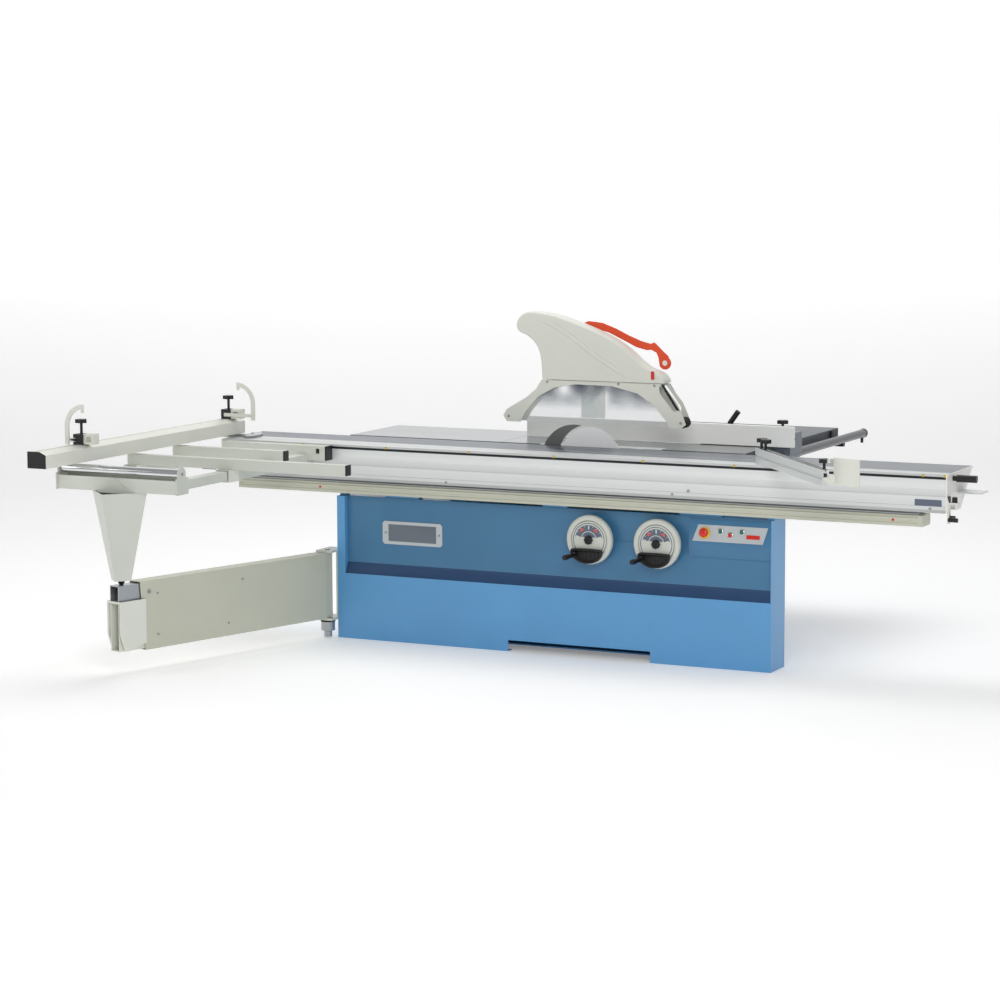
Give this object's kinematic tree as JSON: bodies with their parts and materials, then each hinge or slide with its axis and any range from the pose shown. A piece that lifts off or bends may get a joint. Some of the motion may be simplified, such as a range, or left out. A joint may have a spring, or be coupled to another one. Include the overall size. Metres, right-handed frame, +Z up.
{
  "type": "sliding table panel saw",
  "caption": "Sliding-table panel saw with tilting rising blade, scoring blade, long carriage with outrigger, crosscut fence, rip fence and overhead guard.",
  "frame": {"origin": "on the floor, straight below the point where the blade meets the table top", "axes": "+X against the feed, towards the operator; +Y from the carriage to the rip fence; +Z up"},
  "size_m": [3.657, 3.237, 1.487],
  "materials": {
    "paint_blue": "satin light blue paint",
    "paint_deep_blue": "satin mid blue paint",
    "paint_cream": "satin off-white paint",
    "paint_beige": "satin beige-grey paint",
    "paint_orange": "gloss orange-red paint",
    "cast_table": "ground and polished top",
    "cast_grey": "machined casting, painted sides",
    "steel": "machined steel",
    "chrome": "bright plating",
    "anodised": "satin anodised extrusion",
    "slate": "dark slate-grey paint",
    "black_plastic": "moulded black plastic",
    "cream_plastic": "moulded cream plastic",
    "red_plastic": "moulded red plastic",
    "green_plastic": "moulded green plastic",
    "clear_plastic": "clear polycarbonate panel",
    "rubber": "black rubber",
    "laminate": "dark grey laminated sheet steel"
  },
  "bodies": {
    "frame": {"cabinet_front": "paint_blue", "upper_panel": "paint_deep_blue", "cabinet_body": "paint_blue", "fixed_rail": "anodised", "main_table": "cast_table", "table_insert": "anodised", "extension_table": "laminate", "fence_rod": "steel", "guard_mast": "paint_beige", "console": "paint_deep_blue", "face_plates": "steel", "trunnions": "cast_grey", "arm_hinge": "paint_cream", "wheel_gauges": "cream_plastic"},
    "door": {"rear_door": "paint_blue"},
    "cradle": {"tilt_cradle": "cast_grey"},
    "saw_unit": {"arbor_housing": "cast_grey", "motor": "paint_deep_blue", "drive_belt": "rubber", "riving_knife": "steel"},
    "spindle": {"arbor": "steel", "main_blade": "steel"},
    "motor_shaft": {"motor_pulley": "steel"},
    "scorer": {"scoring_blade": "steel"},
    "lift_handwheel": {"lift_wheel": "cream_plastic"},
    "lift_grip": {"lift_handle": "black_plastic"},
    "tilt_handwheel": {"tilt_wheel": "cream_plastic"},
    "tilt_grip": {"tilt_handle": "black_plastic"},
    "estop": {"estop_button": "red_plastic"},
    "start": {"start_button": "green_plastic"},
    "stop": {"stop_button": "red_plastic"},
    "scoring_start": {"scoring_button": "green_plastic"},
    "carriage": {"carriage_beam": "anodised", "carriage_caps": "cream_plastic", "outrigger_frame": "paint_cream", "support_slats": "paint_cream", "end_plugs": "black_plastic", "support_leg": "paint_cream", "fence_pivot": "steel"},
    "lock": {"lock_lever": "black_plastic"},
    "cage": {"roller_cage": "steel"},
    "outer_roller": {"edge_roller": "chrome"},
    "crosscut": {"crosscut_fence": "anodised"},
    "near_block": {"stop_block_near": "black_plastic"},
    "near_flip": {"stop_arm_near": "paint_beige"},
    "far_block": {"stop_block_far": "black_plastic"},
    "far_flip": {"stop_arm_far": "paint_beige"},
    "swing_arm": {"arm_box": "paint_cream"},
    "arm_extension": {"arm_inner": "paint_beige"},
    "mitre_fence": {"miter_bar": "anodised"},
    "rip_slide": {"rip_carrier": "cast_grey"},
    "rip_extrusion": {"rip_face": "anodised"},
    "rip_clamp": {"rip_lever": "black_plastic"},
    "boom": {"guard_boom": "paint_beige"},
    "guard": {"guard_hood": "paint_beige", "guard_skirt": "paint_beige", "guard_window": "clear_plastic"},
    "guard_roll_in": {"guard_roller_infeed": "rubber"},
    "guard_roll_out": {"guard_roller_outfeed": "rubber"},
    "guard_height_lever": {"guard_lever": "paint_orange"}
  },
  "joints": [
    {"name": "door_swing", "type": "hinge", "parent": "frame", "child": "door", "pos_m": [-0.312, 0.4895, 0], "axis": [0, 0, 1], "range_deg": [0, 60]},
    {"name": "saw_tilt", "type": "hinge", "parent": "frame", "child": "cradle", "pos_m": [0, 0, 0.89], "axis": [-1, 0, 0], "range_deg": [0, 45]},
    {"name": "saw_lift", "type": "slide", "parent": "cradle", "child": "saw_unit", "axis": [0, 0, 1], "range_m": [-0.097, 0.003]},
    {"name": "spindle_turn", "type": "hinge", "parent": "saw_unit", "child": "spindle", "pos_m": [0, 0.1, 0.8295], "axis": [0, 1, 0], "continuous": true},
    {"name": "motor_turn", "type": "hinge", "parent": "saw_unit", "child": "motor_shaft", "pos_m": [0, 0.25, 0.5], "axis": [0, 1, 0], "continuous": true},
    {"name": "scorer_turn", "type": "hinge", "parent": "saw_unit", "child": "scorer", "pos_m": [0.232, 0.04, 0.8315], "axis": [0, 1, 0], "continuous": true},
    {"name": "lift_wheel_turn", "type": "hinge", "parent": "frame", "child": "lift_handwheel", "pos_m": [0.151, -0.33, 0.525], "axis": [0, -1, 0], "range_deg": [-3510, 120]},
    {"name": "lift_grip_fold", "type": "hinge", "parent": "lift_handwheel", "child": "lift_grip", "pos_m": [0.089, -0.372, 0.459], "axis": [0, 0, 1], "range_deg": [0, 90]},
    {"name": "tilt_wheel_turn", "type": "hinge", "parent": "frame", "child": "tilt_handwheel", "pos_m": [0.467, -0.33, 0.525], "axis": [0, -1, 0], "range_deg": [-10, 5410]},
    {"name": "tilt_grip_fold", "type": "hinge", "parent": "tilt_handwheel", "child": "tilt_grip", "pos_m": [0.405, -0.372, 0.459], "axis": [0, 0, 1], "range_deg": [0, 90]},
    {"name": "estop_press", "type": "slide", "parent": "frame", "child": "estop", "axis": [0, 0.9839, -0.179], "range_m": [0, 0.004]},
    {"name": "start_press", "type": "slide", "parent": "frame", "child": "start", "axis": [0, 0.9839, -0.179], "range_m": [0, 0.003]},
    {"name": "stop_press", "type": "slide", "parent": "frame", "child": "stop", "axis": [0, 0.9839, -0.179], "range_m": [0, 0.003]},
    {"name": "scoring_start_press", "type": "slide", "parent": "frame", "child": "scoring_start", "axis": [0, 0.9839, -0.179], "range_m": [0, 0.003]},
    {"name": "carriage_slide", "type": "slide", "parent": "frame", "child": "carriage", "axis": [1, 0, 0], "range_m": [-1.45, 1.6]},
    {"name": "cage_travel", "type": "slide", "parent": "frame", "child": "cage", "axis": [1, 0, 0], "range_m": [-0.725, 0.8]},
    {"name": "lock_swing", "type": "hinge", "parent": "carriage", "child": "lock", "pos_m": [1.775, -0.367, 0.712], "axis": [1, 0, 0], "range_deg": [-40, 20]},
    {"name": "outer_roller_turn", "type": "hinge", "parent": "carriage", "child": "outer_roller", "pos_m": [-1.5, -1.496, 0.869], "axis": [1, 0, 0], "continuous": true},
    {"name": "crosscut_swivel", "type": "hinge", "parent": "carriage", "child": "crosscut", "pos_m": [-1.691, -0.262, 0.91], "axis": [0, 0, 1], "range_deg": [-45, 45]},
    {"name": "near_stop_slide", "type": "slide", "parent": "crosscut", "child": "near_block", "axis": [0, 1, 0], "range_m": [-0.28, 0.5]},
    {"name": "near_stop_flip", "type": "hinge", "parent": "near_block", "child": "near_flip", "pos_m": [-1.74, -1.52, 0.993], "axis": [0, 1, 0], "range_deg": [0, 90]},
    {"name": "far_stop_slide", "type": "slide", "parent": "crosscut", "child": "far_block", "axis": [0, 1, 0], "range_m": [-0.5, 0]},
    {"name": "far_stop_flip", "type": "hinge", "parent": "far_block", "child": "far_flip", "pos_m": [-1.541, -0.325, 0.993], "axis": [0, 1, 0], "range_deg": [0, 90]},
    {"name": "arm_swing", "type": "hinge", "parent": "frame", "child": "swing_arm", "pos_m": [-1.152, -0.34, 0.24], "axis": [0, 0, 1], "range_deg": [-50, 56]},
    {"name": "arm_reach", "type": "slide", "parent": "swing_arm", "child": "arm_extension", "axis": [-0.2883, -0.9576, 0], "range_m": [-0.05, 0.95]},
    {"name": "mitre_swivel", "type": "hinge", "parent": "carriage", "child": "mitre_fence", "pos_m": [0.908, -0.293, 0.891], "axis": [0, 0, 1], "range_deg": [-39, 45]},
    {"name": "rip_travel", "type": "slide", "parent": "frame", "child": "rip_slide", "axis": [0, 1, 0], "range_m": [-0.235, 0.9]},
    {"name": "rip_face_slide", "type": "slide", "parent": "rip_slide", "child": "rip_extrusion", "axis": [1, 0, 0], "range_m": [-0.25, 0.35]},
    {"name": "rip_clamp_turn", "type": "hinge", "parent": "rip_slide", "child": "rip_clamp", "pos_m": [0.48, 0.33, 0.93], "axis": [0, 1, 0], "range_deg": [-40, 40]},
    {"name": "boom_swing", "type": "hinge", "parent": "frame", "child": "boom", "pos_m": [-0.552, 1.27, 1.29], "axis": [0, 0, 1], "range_deg": [-90, 0]},
    {"name": "guard_raise", "type": "slide", "parent": "boom", "child": "guard", "axis": [0, 0, 1], "range_m": [0, 0.12]},
    {"name": "guard_roll_in_turn", "type": "hinge", "parent": "guard", "child": "guard_roll_in", "pos_m": [0.446, 0, 1.014], "axis": [0, 1, 0], "continuous": true},
    {"name": "guard_roll_out_turn", "type": "hinge", "parent": "guard", "child": "guard_roll_out", "pos_m": [-0.386, 0, 1.014], "axis": [0, 1, 0], "continuous": true},
    {"name": "guard_lever_swing", "type": "hinge", "parent": "guard", "child": "guard_height_lever", "pos_m": [-0.042, 0.05, 1.424], "axis": [0, 1, 0], "range_deg": [-30, 0]}
  ],
  "couplings": [
    {"joint": "motor_turn", "follows": "spindle_turn", "ratio": 0.66667},
    {"joint": "lift_wheel_turn", "follows": "saw_lift", "rad_per_m": 628.3},
    {"joint": "tilt_wheel_turn", "follows": "saw_tilt", "ratio": 120},
    {"joint": "cage_travel", "follows": "carriage_slide", "ratio": 0.5},
    {"joint": "arm_swing", "follows": "carriage_slide", "rad_per_m": 0.6}
  ]
}
